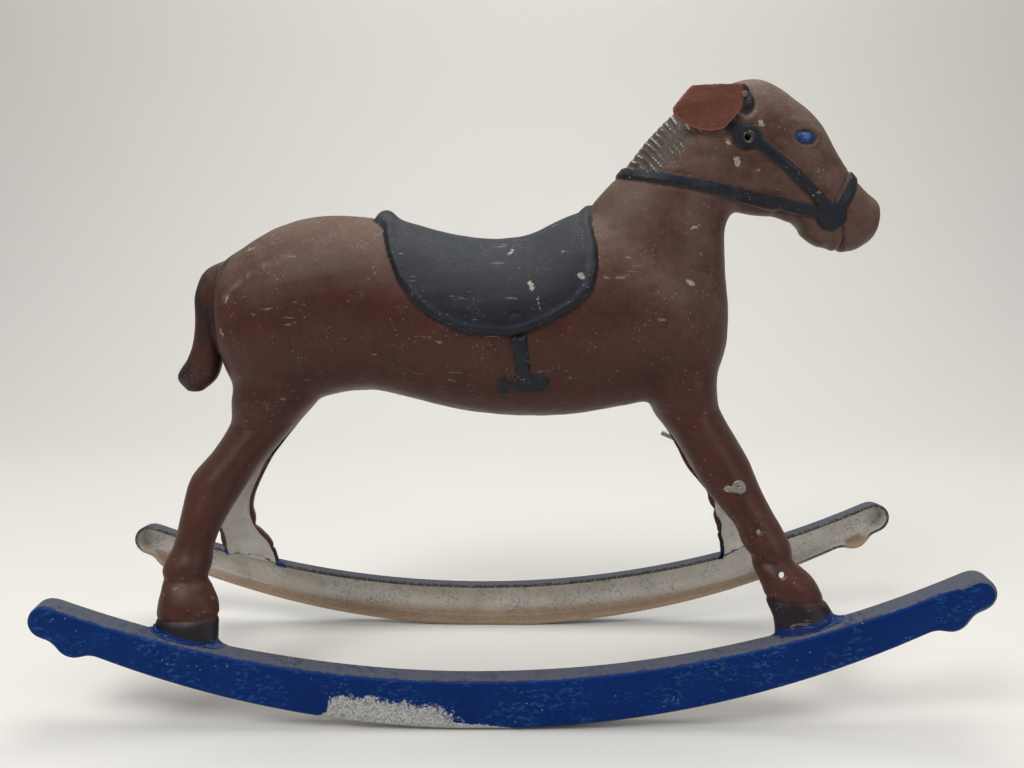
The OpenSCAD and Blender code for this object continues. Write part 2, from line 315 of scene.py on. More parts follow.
def relax(points, pairs, weight, rounds, amount=0.5):
    for _ in range(rounds):
        points = points + (neighbour_mean(points, pairs) - points) * (amount * weight)[:, None]
    return points


def relax_keeping_size(points, pairs, rounds):
    full = np.ones(len(points))
    for _ in range(rounds):
        points = relax(points, pairs, full, 1, 0.55)
        points = relax(points, pairs, full, 1, -0.57)
    return points


def write_value(mesh, name, values):
    attribute = mesh.attributes.new(name, "FLOAT", "POINT")
    attribute.data.foreach_set("value", np.asarray(values, dtype=np.float32))


def shade(obj, angle):
    mesh = obj.data
    mesh.polygons.foreach_set("use_smooth", np.ones(len(mesh.polygons), dtype=bool))
    mesh.set_sharp_from_angle(angle=math.radians(angle))
    mesh.update()


def edge_wear(obj, strength, rounds=2):
    """Curvature of the surface, above 0.5 on outer edges and below it in corners."""
    mesh = obj.data
    p, pairs, n = coords(mesh) / MM, edge_pairs(mesh), normals(mesh)
    span = np.linalg.norm(p[pairs[:, 0]] - p[pairs[:, 1]], axis=1) ** 2
    count = np.maximum(np.bincount(pairs.ravel(), minlength=len(p)), 1)
    span = (np.bincount(pairs[:, 0], span, len(p)) + np.bincount(pairs[:, 1], span, len(p))) / count
    value = np.einsum("ij,ij->i", p - neighbour_mean(p, pairs), n) / np.maximum(span, 0.5)
    value = value[:, None].repeat(3, 1)
    for _ in range(rounds):
        value = 0.5 * value + 0.5 * neighbour_mean(value, pairs)
    write_value(mesh, "edge", np.clip(0.5 + value[:, 0] * strength, 0, 1))


def grid_faces(rows, around, base=0):
    """Quads between the rows of a grid of vertices, each row closing on itself."""
    return [(base + j * around + i, base + j * around + (i + 1) % around,
             base + (j + 1) * around + (i + 1) % around, base + (j + 1) * around + i)
            for j in range(rows - 1) for i in range(around)]


def row_face(row, around, base=0):
    return tuple(range(base + row * around, base + (row + 1) * around))


def closed_grid(rows, around):
    """The quads of a grid and a face on each end."""
    return grid_faces(rows, around) + [row_face(0, around), row_face(rows - 1, around)]


def metres(vertices):
    return [tuple(c * MM for c in p) for p in vertices]


def tube_mesh(stations, around, grow=0.0):
    """Closed mesh through elliptical stations, with half width running both ways from the seam."""
    vertices = []
    for x0, z0, x1, z1, w in stations:
        mx, mz, dx, dz = (x0 + x1) / 2, (z0 + z1) / 2, (x1 - x0) / 2, (z1 - z0) / 2
        reach = math.hypot(dx, dz)
        k = (reach + grow) / reach
        for i in range(around):
            a = 2 * math.pi * i / around
            vertices.append((mx + dx * k * math.sin(a), (w + grow) * math.cos(a),
                             mz + dz * k * math.sin(a)))
    rows = len(stations)
    ends = [row_face(0, around)[::-1], row_face(rows - 1, around)]
    return vertices, grid_faces(rows, around) + ends


def turned(section):
    """Closed body about y from (radii round a turn, y) rows given in order round the section."""
    k, around = len(section), len(section[0][0])
    vertices = [(r * math.cos(2 * math.pi * i / around), y, r * math.sin(2 * math.pi * i / around))
                for radii, y in section for i, r in enumerate(radii)]
    faces = [(j * around + i, ((j + 1) % k) * around + i,
              ((j + 1) % k) * around + (i + 1) % around, j * around + (i + 1) % around)
             for j in range(k) for i in range(around)]
    return vertices, faces


def lathe(profile, around=48):
    """Closed body of revolution about y from (radius, y) points."""
    return turned([([r] * around, y) for r, y in profile])


def tidy_normals(obj):
    bm = bmesh.new()
    bm.from_mesh(obj.data)
    bmesh.ops.remove_doubles(bm, verts=bm.verts, dist=1e-7)
    bmesh.ops.recalc_face_normals(bm, faces=bm.faces)
    bm.to_mesh(obj.data)
    bm.free()


def merged(name, pieces, materials=()):
    """One object from several (vertices, faces) lists."""
    vertices, faces = [], []
    for v, f in pieces:
        start = len(vertices)
        vertices += [tuple(p) for p in v]
        faces += [tuple(start + i for i in face) for face in f]
    return new_object(name, vertices, faces, materials)


def placed(piece, x, y, z, flip=False):
    """A lathe piece moved to its level place, mirrored to the other side where flip is set."""
    v, f = piece
    sign = -1 if flip else 1
    return [(px + x, sign * (py + y), pz + z) for px, py, pz in v], f


def two_faced(obj, outer, inner, lining=False):
    """Gives a mesh its outer and inner materials, with the inner one on all of a lining's faces."""
    for kind in (outer, inner):
        obj.data.materials.append(material(kind))
    if lining:
        index = np.ones(len(obj.data.polygons), dtype=np.int32)
        obj.data.polygons.foreach_set("material_index", index)


def hand_in(obj, node, body="horse", angle=35):
    """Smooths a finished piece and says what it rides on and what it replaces."""
    shade(obj, angle)
    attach(obj, body)
    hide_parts(node)


def mirrored_copy(obj, name):
    copy = bpy.data.objects.new(name, obj.data.copy())
    bpy.context.scene.collection.objects.link(copy)
    copy.data.transform(Matrix.Scale(-1, 4, (0, 1, 0)))
    copy.data.flip_normals()
    return copy


# Materials

class Value:
    """A number in a material, with arithmetic."""

    def __init__(self, paint, socket):
        self.paint, self.socket = paint, socket

    def maths(self, operation, *values, clamp=False):
        return self.paint.node("ShaderNodeMath", {"operation": operation, "use_clamp": clamp},
                               dict(enumerate(values)))

    def __add__(self, other):
        return self.maths("ADD", self, other)

    def __radd__(self, other):
        return self.maths("ADD", other, self)

    def __sub__(self, other):
        return self.maths("SUBTRACT", self, other)

    def __rsub__(self, other):
        return self.maths("SUBTRACT", other, self)

    def __mul__(self, other):
        return self.maths("MULTIPLY", self, other)

    def __rmul__(self, other):
        return self.maths("MULTIPLY", other, self)

    def __neg__(self):
        return self.maths("MULTIPLY", self, -1)

    def clamped(self):
        return self.maths("ADD", self, 0, clamp=True)

    def above(self, low, high):
        """Rises smoothly from 0 at low to 1 at high."""
        return self.paint.node("ShaderNodeMapRange", {"interpolation_type": "SMOOTHSTEP"},
                               {"Value": self, "From Min": low, "From Max": high})

    def below(self, low, high):
        return 1 - self.above(low, high)


class Paint:
    """A material's nodes, made by one method, with its plain colours named as in the settings."""

    def __init__(self, name, look):
        self.look = look
        self.material = bpy.data.materials.new(name)
        self.material.use_nodes = True
        self.tree = self.material.node_tree
        self.tree.nodes.clear()
        out = self.tree.nodes.new("ShaderNodeOutputMaterial")
        self.shader = self.tree.nodes.new("ShaderNodeBsdfPrincipled")
        self.tree.links.new(self.shader.outputs[0], out.inputs[0])

    def node(self, kind, settings=None, values=None, output=0):
        made = self.tree.nodes.new(kind)
        for key, value in (settings or {}).items():
            setattr(made, key, value)
        for key, value in (values or {}).items():
            self.feed(made.inputs[key], value)
        return Value(self, made.outputs[output])

    def feed(self, socket, value):
        if isinstance(value, Value):
            self.tree.links.new(value.socket, socket)
        elif isinstance(value, tuple) and len(value) == 3 and socket.type == "RGBA":
            socket.default_value = (*value, 1)
        else:
            socket.default_value = value

    def set(self, **values):
        for key, value in values.items():
            self.feed(self.shader.inputs[key.replace("_", " ")], value)

    def mix(self, a, b, share):
        a, b = (tuple(getattr(self.look, c)) if isinstance(c, str) else c for c in (a, b))
        return self.node("ShaderNodeMix", {"data_type": "RGBA"}, {0: share, 6: a, 7: b}, 2)

    def place(self, stretch=(1, 1, 1)):
        """Position on the object in millimetres, stretched per axis."""
        point = self.node("ShaderNodeTexCoord", output="Object")
        return self.node("ShaderNodeVectorMath", {"operation": "MULTIPLY"},
                         {0: point, 1: tuple(1000 * s for s in stretch)})

    def noise(self, size, detail=3, rough=0.55, stretch=(1, 1, 1)):
        return self.node("ShaderNodeTexNoise", None,
                         {"Vector": self.place(stretch), "Scale": 1 / size, "Detail": detail,
                          "Roughness": rough}, "Fac")

    def cells(self, size, stretch=(1, 1, 1)):
        return self.node("ShaderNodeTexVoronoi", None,
                         {"Vector": self.place(stretch), "Scale": 1 / size}, "Distance")

    def stored(self, name):
        return self.node("ShaderNodeAttribute", {"attribute_name": name}, output="Fac")

    def facing_up(self):
        normal = self.node("ShaderNodeNewGeometry", output="Normal")
        return self.node("ShaderNodeSeparateXYZ", None, {0: normal}, "Z")

    def bump(self, height, strength, distance=0.001):
        self.set(Normal=self.node("ShaderNodeBump", None,
                                  {"Strength": strength, "Distance": distance, "Height": height}))


def linear(*srgb):
    """An 8-bit screen colour as a linear one."""
    return tuple(((c / 255 + 0.055) / 1.055) ** 2.4 if c > 10 else c / 255 / 12.92 for c in srgb)


def body_paint(look):
    p = Paint("old_brown_enamel", look)
    cloud, grain, fleck = p.noise(55, 4), p.noise(9, 4, 0.65), p.noise(1.6, 2, 0.6)
    brushed = p.noise(7, 4, 0.7, (1, 1, 0.12))
    edge = p.stored("edge")
    # Dust on upward faces and higher up the body, and painted light: the same paler colour stands for light
    # falling on the tops.
    dust = p.facing_up().above(0.0, 0.9) * p.stored("dusty") * (0.35 + 0.95 * cloud)
    # Paler towards the front and the top of the body.
    haze = p.stored("haze") * (1.5 * cloud + 0.9 * grain - 0.75).clamped()
    brown = p.mix("brown_dark", "brown", (0.9 * cloud + 0.5 * grain - 0.2).clamped())
    brown = p.mix(brown, "brown_red", (grain * 1.6 - 0.65).clamped() * 0.5)
    # Pale streaks: dust, and a painted highlight along the haunch ridge.
    smear = p.stored("smear") * grain.above(0.35, 0.6)
    dust_and_light_share = dust * (0.35 + 0.75 * grain) + haze * 0.55 + smear * 0.6 + brushed.above(0.5, 0.75) * 0.08
    brown = p.mix(brown, "dust", dust_and_light_share.clamped())
    black = p.mix("tack_dark", "tack", (0.8 * cloud + 0.6 * grain - 0.2).clamped())
    # Dust and painted top light make the saddle's upward faces paler.
    black = p.mix(black, "tack_dust", (dust * p.stored("saddle").below(-4, 2) * 0.35).clamped())
    ragged = (grain - 0.5) * 2.2 + (fleck - 0.5) * 1.2
    strap = (p.stored("strap") + ragged * 0.25).below(-0.4, 0.6)
    saddle = (p.stored("saddle") + ragged * 0.5).below(-0.3, 0.6)
    tack = strap.maths("MAXIMUM", strap, saddle)
    colour = p.mix(brown, black, tack)
    wash = p.noise(16, 3, 0.6, (1, 1, 0.3)).above(0.40, 0.62) * 0.8
    colour = p.mix(colour, "tail", p.stored("tail").above(0.3, 0.9) * wash)
    mane = p.stored("mane") * (0.35 + 0.9 * grain)
    colour = p.mix(colour, "mane", mane.clamped() * 0.85)
    streak = p.stored("mane_line").above(0.72, 0.97) * p.noise(18, 2).above(0.45, 0.55)
    streak = streak * p.stored("mane").above(0.1, 0.5)
    colour = p.mix(colour, "chip", (streak * grain.above(0.30, 0.44)).clamped() * 0.85)
    hoof = (p.stored("hoof") + ragged * 1.6).below(-2.5, 2.5)
    colour = p.mix(colour, "tack_dark", hoof * 0.9)
    foot = (p.stored("foot") + ragged * 1.4).below(-1.0, 1.5)
    colour = p.mix(colour, p.mix("blue_dark", "blue", cloud), foot)
    # The ear socket is painted dark: black paint, and painted shade in the recess.
    socket = (p.stored("socket") + ragged * 0.6).below(-0.5, 1.2)
    colour = p.mix(colour, "tack_dark", socket * 0.92)
    eye = (p.stored("eye") + ragged * 0.2).below(-0.2, 0.4)
    rim = (p.stored("eye") + ragged * 0.25).below(1.0, 1.8)
    colour = p.mix(colour, "eye_rim", rim * 0.75)
    # Painted highlight in the centre of the eyes.
    eye_blue = p.mix("eye", "eye_highlight", p.stored("eye").below(-4.6, -1.8) * fleck.above(0.36, 0.6) * 0.8)
    colour = p.mix(colour, eye_blue, eye)
    # Painted shadow along the borders of the straps and the saddle.
    outline = p.stored("strap").above(-1.6, 0.0) * p.stored("strap").below(0.4, 2.2)
    outline = outline * p.stored("saddle").above(-2, 1)
    outline = outline + p.stored("saddle").above(-1.2, 0.4) * p.stored("saddle").below(0.8, 2.6)
    # Painted shade and dirt darken corners and creases, with the painted shadow along the tack.
    crevice_dirt_and_shade = (edge.below(0.30, 0.44) * 0.75 + outline * (0.35 + 0.8 * cloud)).clamped()
    colour = p.mix(colour, "crevice_dirt_and_shade", crevice_dirt_and_shade)
    grit = p.cells(2.2).below(0.16, 0.30) * (dust + haze * 0.5 + smear).above(0.20, 0.80)
    grit = grit * p.noise(15, 4, 0.7).above(0.46, 0.58)
    speck = p.cells(5.0).below(0.07, 0.13) * p.noise(30, 3).above(0.45, 0.60)
    line = p.noise(5, 3, 0.6, (0.16, 1, 1)).above(0.63, 0.70) * p.noise(26, 2).above(0.52, 0.62)
    scuff = fleck.above(0.60, 0.70) * p.noise(30, 3).above(0.56, 0.66)
    worn = edge.above(0.62, 0.78) * grain.above(0.46, 0.62)
    chip = (p.stored("chip") + ragged * 4.2 + 0.6).below(-0.4, 0.4) * fleck.above(0.30, 0.42)
    bare = speck * 0.7 + grit * (0.6 - 0.4 * tack) + scuff * 0.25 + line * 0.35
    bare = (bare + worn * 0.45 + chip * 0.9).clamped()
    colour = p.mix(colour, "chip", bare * 0.8)
    p.set(Base_Color=colour, Metallic=chip.clamped() * 0.4,
          Roughness=(0.30 + 0.25 * grain + 0.35 * dust - 0.15 * eye).clamped())
    p.set(Specular_IOR_Level=0.25)
    height = grain * 0.5 + fleck * 0.25 + brushed * 0.3 - bare * 0.5
    p.bump(height, 0.35, 0.0006)
    return p.material


def cast_inside(look):
    p = Paint("bare_casting", look)
    cloud, grain, fleck = p.noise(40, 4), p.noise(5, 4, 0.65), p.noise(1.1, 2)
    colour = p.mix("cast_light", "cast", (cloud * 1.3 - 0.15).clamped())
    colour = p.mix(colour, "cast_brown", (p.noise(24, 4).above(0.52, 0.72) * 0.45))
    pits = p.cells(4.5).below(0.10, 0.2) * grain.above(0.45, 0.6)
    colour = p.mix(colour, "crevice_dirt_and_shade", (pits * 0.5 + p.stored("edge").above(0.53, 0.62) * 0.85).clamped())
    p.set(Base_Color=colour, Metallic=0.25, Roughness=(0.5 + 0.25 * grain))
    p.bump(grain * 0.6 + fleck * 0.5 - pits, 0.5, 0.0007)
    return p.material


def rocker_paint(look):
    p = Paint("worn_blue_enamel", look)
    cloud, grain, fleck = p.noise(60, 4), p.noise(8, 4, 0.65), p.noise(1.8, 3, 0.6)
    scratch = p.noise(3, 3, 0.6, (0.5, 1, 1))
    edge, top = p.stored("edge"), p.stored("top")
    blue = p.mix("blue_dark", "blue", (0.9 * cloud + 0.4 * grain - 0.15).clamped())
    haze = scratch.above(0.50, 0.66) * p.noise(34, 3).above(0.42, 0.60)
    blue = p.mix(blue, "blue_haze", haze * 0.6)
    ragged = (grain - 0.5) * 1.0 + (fleck - 0.5) * 0.6
    worn_top = (top + ragged * 0.9 + (cloud - 0.5) * 0.8).above(0.42, 0.72)
    colour = p.mix(blue, "worn_top", worn_top * (0.45 + 0.5 * grain))
    low = p.stored("low")
    worn_low = (low + ragged * 0.8).above(0.38, 0.55)
    # Outer edges rubbed to bare metal; the bright edges are also a painted highlight on the rounded flanges.
    rim = (edge + ragged * 0.12).above(0.56, 0.66) * p.noise(22, 3).above(0.40, 0.58)
    speck = p.cells(7.0).below(0.06, 0.11) * p.noise(42, 3).above(0.48, 0.62)
    bare = (worn_low + rim * 0.7 + speck * 0.8).clamped()
    metal = p.mix("bare_dark", "bare_light", (fleck * 2.2 - 0.6).clamped())
    colour = p.mix(colour, metal, bare)
    # The lower half of the open side's rim is tan: a stain, and painted light, as the lower flange is lit
    # differently.
    rim_paint = p.mix("rim", "tan", p.stored("floor_side").above(0.3, 0.8) * 0.8)
    rim_paint = p.mix(rim_paint, "cast", fleck.above(0.50, 0.62) * 0.5)
    colour = p.mix(colour, rim_paint, p.stored("rim"))
    # Upward faces of the rockers are paler: dust, and painted top light.
    colour = p.mix(colour, "tack_dust", p.facing_up().above(0.3, 1.0) * 0.2)
    p.set(Base_Color=colour, Metallic=(bare * 0.6).clamped(),
          Roughness=(0.34 + 0.2 * grain + 0.25 * worn_top + 0.2 * haze).clamped())
    p.set(Specular_IOR_Level=0.08)
    p.bump(grain * 0.4 + fleck * 0.3 - bare * 0.7, 0.35, 0.0007)
    return p.material


def rocker_inside(look):
    p = Paint("grey_channel", look)
    cloud, grain, fleck = p.noise(45, 4), p.noise(6, 4, 0.65), p.noise(1.0, 2)
    colour = p.mix("cast_light", "cast", (cloud * 1.2 - 0.1).clamped())
    # The lower flange is tan: a stain, and painted light where it is lit differently.
    rust = p.stored("floor_side").above(0.35, 0.7)
    colour = p.mix(colour, "tan", (rust * (0.55 + 0.5 * grain)).clamped())
    scratched = p.noise(2.6, 4, 0.7).above(0.50, 0.60) * p.noise(26, 3).above(0.42, 0.58)
    colour = p.mix(colour, "bare_dark", scratched * 0.6)
    pits = p.cells(5).below(0.12, 0.2) * grain.above(0.46, 0.6)
    # Pits are darkened as dirt, and corners a little as painted shade.
    colour = p.mix(colour, "crevice_dirt_and_shade", (pits * 0.6 + p.stored("edge").below(0.42, 0.49) * 0.25).clamped())
    p.set(Base_Color=colour, Metallic=0.3, Roughness=(0.45 + 0.25 * grain))
    p.bump(grain * 0.6 + fleck * 0.5 - pits, 0.5, 0.0007)
    return p.material


def old_steel(look):
    p = Paint("dull_zinc", look)
    grain, fleck = p.noise(3, 4), p.noise(0.7, 2)
    colour = p.mix("steel_dark", "steel", (grain * 1.5 - 0.2).clamped())
    colour = p.mix(colour, "tan", fleck.above(0.58, 0.7) * 0.4)
    rust = p.stored("rusty") * (0.35 + 0.9 * grain)
    colour = p.mix(colour, "rust", rust.clamped())
    p.set(Base_Color=colour, Metallic=(0.9 - 0.4 * grain - 0.6 * rust).clamped(),
          Roughness=(0.3 + 0.3 * grain + 0.2 * rust))
    p.bump(fleck, 0.3, 0.0002)
    return p.material


def ear_leather(look):
    p = Paint("dry_leather", look)
    cloud, grain, fleck = p.noise(22, 4), p.noise(4, 4, 0.65), p.noise(0.8, 3)
    fibre = p.noise(2.2, 3, 0.6, (0.25, 1, 1))
    pores = p.cells(1.3)
    colour = p.mix("leather_dark", "leather", (0.8 * cloud + 0.5 * grain - 0.1).clamped())
    colour = p.mix(colour, "leather_light", fibre.above(0.5, 0.72) * 0.35)
    colour = p.mix(colour, "leather_light", p.stored("edge").above(0.54, 0.64) * 0.6)
    # The front end, which sits in the socket, is painted dark: black paint, and painted shade in the recess.
    colour = p.mix(colour, "tack_dark", (p.stored("front") + (grain - 0.5) * 5).above(-1.0, 1.5) * 0.93)
    p.set(Base_Color=colour, Roughness=(0.5 + 0.25 * grain))
    p.set(Specular_IOR_Level=0.3)
    p.bump(pores * 0.5 + fibre * 0.5 + fleck * 0.3, 0.4, 0.0005)
    return p.material


def stage_cloth(look):
    p = Paint("pale_backdrop", look)
    colour = p.mix("stage", tuple(c * 0.985 for c in look.stage), p.noise(300, 2))
    p.set(Base_Color=colour, Roughness=0.9)
    p.set(Specular_IOR_Level=0.1)
    return p.material


MAKERS = {"body": body_paint, "inside": cast_inside, "rocker": rocker_paint, "channel": rocker_inside,
          "steel": old_steel, "leather": ear_leather, "stage": stage_cloth}
made_materials = {}


def material(kind):
    if kind not in made_materials:
        made_materials[kind] = MAKERS[kind](bpy.context.scene.horse_look)
    return made_materials[kind]


# Settings

def colour_setting(name, description, *srgb):
    return FloatVectorProperty(name=name, description=description, default=linear(*srgb),
                               subtype="COLOR", size=3, min=0, max=1)


class HorseLook(bpy.types.PropertyGroup):
    """Colours of the paints, metals and leather."""
    brown: colour_setting("Brown", "Body enamel", 74, 41, 32)
    brown_dark: colour_setting("Dark brown", "Body enamel where it is darkest", 48, 22, 17)
    brown_red: colour_setting("Red brown", "Rubbed, redder body enamel", 86, 36, 26)
    # Dust on the body, and painted light on its upward faces and top.
    dust: colour_setting("Dust", "Dust on upward faces of the body", 108, 91, 80)
    tack: colour_setting("Tack", "Saddle and bridle enamel", 27, 31, 42)
    tack_dark: colour_setting("Dark tack", "Saddle and bridle enamel where it is darkest", 17, 19, 28)
    # Dust on the saddle's top, and painted top light there and on the rockers' upward faces.
    tack_dust: colour_setting("Tack dust", "Dust on the saddle's top", 74, 78, 80)
    tail: colour_setting("Tail", "Black wash on the tail", 32, 27, 28)
    mane: colour_setting("Mane", "Black wash on the mane", 40, 36, 34)
    chip: colour_setting("Chip", "Pale ground where paint has come off", 176, 168, 158)
    # Dark dirt in pits, and painted shade in corners and along the tack.
    crevice_dirt_and_shade: colour_setting("Crevice", "Dirt in corners", 34, 24, 22)
    eye: colour_setting("Eye", "Painted eyes", 18, 46, 98)
    # Painted highlight in the centre of the eyes.
    eye_highlight: colour_setting("Eye light", "Rubbed centre of the painted eyes", 84, 122, 176)
    eye_rim: colour_setting("Eye rim", "Dark outline of the eyes", 40, 24, 28)
    cast: colour_setting("Casting", "Bare casting inside the legs", 168, 162, 152)
    cast_light: colour_setting("Light casting", "Bare casting where it is palest", 214, 211, 205)
    cast_brown: colour_setting("Stained casting", "Stains on the bare casting", 128, 110, 92)
    blue: colour_setting("Blue", "Rocker enamel", 0, 46, 110)
    blue_dark: colour_setting("Dark blue", "Rocker enamel where it is darkest", 0, 26, 80)
    blue_haze: colour_setting("Blue haze", "Scuffed rocker enamel", 46, 84, 134)
    rim: colour_setting("Channel rim", "Dark rubbed rim of the rockers' open side", 62, 60, 62)
    worn_top: colour_setting("Worn top", "Rocker tops rubbed through", 100, 100, 100)
    bare_light: colour_setting("Bright metal", "Bare casting on the rockers", 205, 205, 204)
    bare_dark: colour_setting("Dull metal", "Bare casting in scratches", 112, 112, 112)
    # Stain, and painted light on the lower flanges.
    tan: colour_setting("Tan", "Stain on the lower flanges", 166, 138, 110)
    steel: colour_setting("Steel", "Zinc plated steel", 176, 174, 164)
    steel_dark: colour_setting("Dark steel", "Dulled steel", 108, 104, 96)
    rust: colour_setting("Rust", "Rusty steel", 78, 54, 42)
    leather: colour_setting("Leather", "Ears", 104, 58, 44)
    leather_dark: colour_setting("Dark leather", "Ears where they are darkest", 78, 40, 34)
    leather_light: colour_setting("Light leather", "Scuffed leather", 138, 84, 64)
    stage: colour_setting("Stage", "Floor and backdrop", 217, 215, 210)


class HorseSize(bpy.types.PropertyGroup):
    """Relief heights and mesh fineness."""
    grain: FloatProperty(name="Mesh size", description="Size of the castings' mesh cells",
                         default=0.0020, unit="LENGTH", min=0.001, max=0.006)
    blend: FloatProperty(name="Blend", description="How wide the body's parts run into each other",
                         default=13.0, min=2, max=30)
    saddle: FloatProperty(name="Saddle height", description="How far the saddle stands out, in millimetres",
                          default=3.4, min=0, max=6)
    strap: FloatProperty(name="Strap height", description="How far the straps stand out, in millimetres",
                         default=2.2, min=0, max=4)
    thread: FloatProperty(name="Thread pitch", description="Pitch of the foot rod's thread",
                          default=0.001, unit="LENGTH", min=0.0005, max=0.002)
    rings: IntProperty(name="Rings", description="Faces round each small turned piece",
                       default=40, min=16, max=96)


# The castings

def features(xz):
    """Signed distances in the side view to everything raised or painted on a half casting."""
    x, z = xz[:, 0], xz[:, 1]
    f = {"saddle": polygon_distance(xz, SADDLE)}
    f["strap"] = np.minimum.reduce(
        [segment_distance(xz, path) - half for path, half in STRAPS]
        + [ellipse_distance(xz, HANDLE, 12.5, 11), ellipse_distance(xz, BIT, 13, 12.5),
           segment_distance(xz, STIRRUP_STRAP) - 6.6 - 0.035 * (z - 360)])
    f["eye"] = ellipse_distance(xz, EYE, 9.8, 6.2, math.radians(-4))
    f["socket"] = ellipse_distance(xz, SOCKET, 8.5, 13.5, math.radians(8))
    above_rein = smooth((z - (527 - 0.27 * (x - 120))) / 10)
    f["mane"] = smooth((36 - segment_distance(xz, CREST)) / 16) * above_rein * smooth((205 - x) / 14)
    along = x * 0.9 + z * 0.42 + 5 * np.sin(z / 17) + 2.4 * np.sin(x / 12 + z / 31)
    f["mane_line"] = 0.5 + 0.5 * np.cos(2 * math.pi * along / 7.2)
    f["tail"] = smooth((2 - polygon_distance(xz, TAIL_EDGE)) / 4)
    return f


def bell(distance, wide):
    return np.exp(-(distance / wide) ** 2)


def mound(xz, x, z, rx, rz):
    return np.exp(-(((xz[:, 0] - x) / rx) ** 2 + ((xz[:, 1] - z) / rz) ** 2))


def relief(points, size):
    """Distance each point of the closed body moves along its normal."""
    xz = points[:, [0, 2]]
    x, z = xz[:, 0], xz[:, 1]
    f = features(xz)
    saddle, strap, eye, socket = f["saddle"], f["strap"], f["eye"], f["socket"]
    side = smooth(np.abs(points[:, 1]) / 10)
    out = size.saddle * smooth((1.4 - saddle) / 3.0)
    out += 1.2 * bell(saddle + 4.5, 3.2) * smooth((2 - saddle) / 4)
    cantle = bell(x + 114, 10) * smooth((z - 440) / 40)
    out += 6.0 * cantle * smooth((1.4 - saddle) / 3.0) * (1 - 0.6 * side)
    out -= 0.5 * bell(saddle - 2.2, 1.2)
    raised = size.strap * smooth((1.1 - strap) / 2.2)
    out += np.where(saddle < 3, np.maximum(raised - size.saddle, 0), raised)
    out -= 0.7 * bell(strap - 2.0, 1.3)
    out += 2.6 * smooth(-eye / 5.5) * side - 1.0 * bell(eye - 0.2, 1.1) * side
    out += 0.5 * bell(eye - 2.8, 1.9) * side
    out -= 2.4 * smooth((1.5 - socket) / 4) * side
    out += 1.0 * bell(socket - 3.2, 2.0) * side
    out -= 0.9 * f["mane"] * (1 - f["mane_line"])
    mouth = segment_distance(xz, MOUTH)
    out -= 1.8 * bell(mouth, 1.5)
    out += 0.9 * bell(mouth - 5, 3.0)
    out -= 2.6 * bell(segment_distance(xz, JAW), 4.5)
    out += 1.6 * bell(segment_distance(xz, CHIN), 6)
    out -= 2.0 * mound(xz, 384, 470, 7, 16)
    low = smooth((230 - z) / 20)
    for height, wide, amount in ((161, 8, 1.6), (146, 5, -2.6), (128, 9, 1.6), (113, 2.2, -1.7)):
        out += low * amount * bell(z - height - 0.05 * (x > 0) * (275 - x), wide)
    for amount, form in (
            (3.2, mound(xz, 262, 516, 26, 24)), (-1.8, mound(xz, 318, 520, 20, 10)),
            (1.6, bell(segment_distance(xz, BROW), 5)), (3.0, mound(xz, -240, 372, 34, 55)),
            (2.6, mound(xz, 172, 370, 34, 60)), (-2.0, mound(xz, -150, 345, 18, 45))):
        out += amount * form * side
    return out + 0.35 * bumps(points, 70, 3) + 0.22 * bumps(points, 22, 5)


def closed_body(size, coarse):
    """The whole body as one skin about the seam, before it is parted and splayed."""
    pieces = {k: tube_mesh(spline(v, 6), 72) for k, v in PARTS.items()}
    skin = merged("body_skin", [(metres(v), f) for v, f in pieces.values()])
    tidy_normals(skin)
    remesh(skin, coarse or size.grain)
    mesh = skin.data
    points = coords(mesh) / MM
    pairs = edge_pairs(mesh)
    points = relax_keeping_size(points, pairs, 3)
    near = {}
    for key, (v, f) in pieces.items():
        tree = BVHTree.FromPolygons([Vector(p) for p in v], f)
        near[key] = np.array([tree.find_nearest(Vector(p), 40)[3] or 40 for p in points], dtype=float)
    weight = np.zeros(len(points))
    keys = list(near)
    for i, a in enumerate(keys):
        for b in keys[i + 1:]:
            reach = 3.5 if "tail" in (a, b) else size.blend
            weight = np.maximum(weight, np.exp(-(np.maximum(near[a], near[b]) / reach) ** 2))
    points = relax(points, pairs, weight, 45)
    points = relax(points, pairs, np.full(len(points), 0.3), 3)
    set_coords(mesh, points * MM)
    points = points + normals(mesh) * relief(points, size)[:, None]
    set_coords(mesh, points * MM)
    return skin


def inner_body():
    """The hollow inside, a wall's thickness within the skin."""
    pieces = []
    for key, stations in PARTS.items():
        dense = spline(stations, 4)
        if key not in ("hind", "fore"):
            dense = dense[2:-2]
        pieces.append(tube_mesh(dense, 48, -WALL))
    inner = merged("hollow", [(metres(v), f) for v, f in pieces])
    tidy_normals(inner)
    remesh(inner, COARSE_MESH)
    mesh = inner.data
    points = relax_keeping_size(coords(mesh) / MM, edge_pairs(mesh), 6)
    points += normals(mesh) * (0.5 * bumps(points, 24, 9))[:, None]
    set_coords(mesh, points * MM)
    return inner


def box_tool(low, high):
    (x0, y0, z0), (x1, y1, z1) = low, high
    vertices = [(x, y, z) for x in (x0, x1) for y in (y0, y1) for z in (z0, z1)]
    faces = [(0, 1, 3, 2), (4, 6, 7, 5), (0, 4, 5, 1), (2, 3, 7, 6), (0, 2, 6, 4), (1, 5, 7, 3)]
    return new_object("tool", metres(vertices), faces)


def pin_tool(x, z, y0, y1, radius, around=32):
    """Level cylinder along y, placed where the horse stands."""
    turns = [2 * math.pi * i / around for i in range(around)]
    points = [(x + radius * math.cos(a), y, z + radius * math.sin(a)) for y in (y0, y1) for a in turns]
    faces = grid_faces(2, around) + [row_face(0, around)[::-1], row_face(1, around)]
    tool = new_object("tool", to_stand(points), faces)
    tidy_normals(tool)
    return tool


